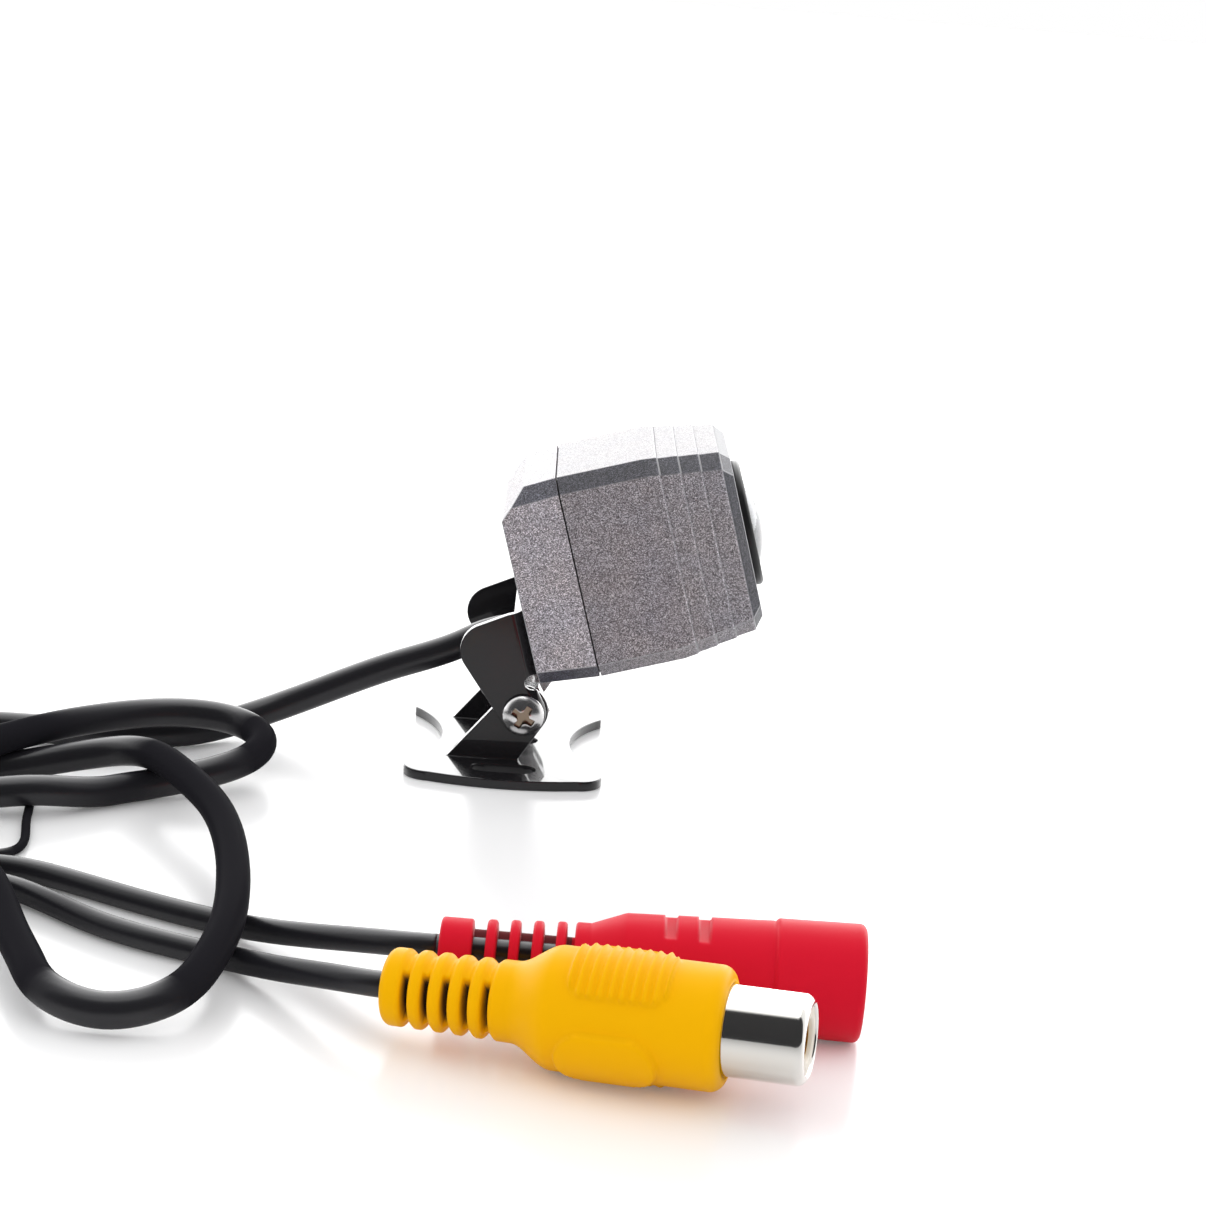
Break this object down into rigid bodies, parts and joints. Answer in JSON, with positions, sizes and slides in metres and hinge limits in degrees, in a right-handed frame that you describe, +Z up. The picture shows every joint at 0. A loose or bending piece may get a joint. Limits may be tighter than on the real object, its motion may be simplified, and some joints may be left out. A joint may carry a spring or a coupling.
{
  "type": "backup camera",
  "caption": "Cube backup camera on a tilting sheet-metal bracket, with a cable that splits to a phono socket and a barrel power socket.",
  "frame": {"origin": "centre of the underside of the base plate, on the surface the bracket is screwed to", "axes": "+X the way the lens looks, +Z up out of the base plate, +Y to the camera's left, along the pivot axis"},
  "size_m": [0.1241, 0.1254, 0.0414],
  "materials": {
    "housing_paint": "metallic gunmetal paint with fine flakes",
    "screw_steel": "plated steel",
    "chrome_screw": "bright chromed steel",
    "bracket_black": "gloss black lacquer on sheet steel",
    "black_rubber": "matte black rubber",
    "cable_jacket": "satin black PVC jacket",
    "bezel_black": "black ring with a bright front edge",
    "lens_glass": "clear coated glass",
    "barrel_black": "matte black",
    "filter_glass": "reddish infrared filter",
    "chip_black": "matte black moulding",
    "board_green": "green solder mask",
    "brass_part": "bright brass",
    "socket_cream": "cream plastic",
    "yellow_moulding": "satin yellow PVC",
    "red_moulding": "satin red PVC",
    "nickel_shell": "bright nickel",
    "cream_insulator": "cream plastic"
  },
  "bodies": {
    "base": {"base_bracket": "bracket_black", "pivot_screws": "chrome_screw", "pivot_nuts": "screw_steel", "pivot_washers": "screw_steel", "main_cable": "cable_jacket", "y_splice": "cable_jacket", "power_lead": "cable_jacket", "video_lead": "cable_jacket", "trigger_wire": "cable_jacket", "rca_housing": "yellow_moulding", "rca_shell": "nickel_shell", "rca_insulator": "cream_insulator", "rca_contact": "brass_part", "dc_housing": "red_moulding", "dc_sleeve": "nickel_shell", "dc_base": "chip_black", "dc_pin": "nickel_shell"},
    "head": {"front_housing": "housing_paint", "rear_cover": "housing_paint", "housing_gasket": "black_rubber", "cover_screws": "screw_steel", "bracket_screws": "screw_steel", "lens_bezel": "bezel_black", "front_glass": "lens_glass", "glass_seal": "black_rubber", "lens_barrel": "barrel_black", "lens_elements": "lens_glass", "lens_holder": "barrel_black", "ir_filter": "filter_glass", "image_sensor": "chip_black", "sensor_board": "board_green", "power_board": "board_green", "board_spacers": "brass_part", "board_screws": "screw_steel", "board_header": "chip_black", "board_chips": "chip_black", "board_socket": "socket_cream", "cable_gland": "black_rubber", "cable_tail": "cable_jacket", "camera_bracket": "bracket_black"}
  },
  "joints": [
    {"name": "tilt", "type": "hinge", "parent": "base", "child": "head", "pos_m": [0.002, 0, 0.0075], "axis": [0, -1, 0], "range_deg": [-35, 60], "deforming": ["main_cable"]}
  ]
}
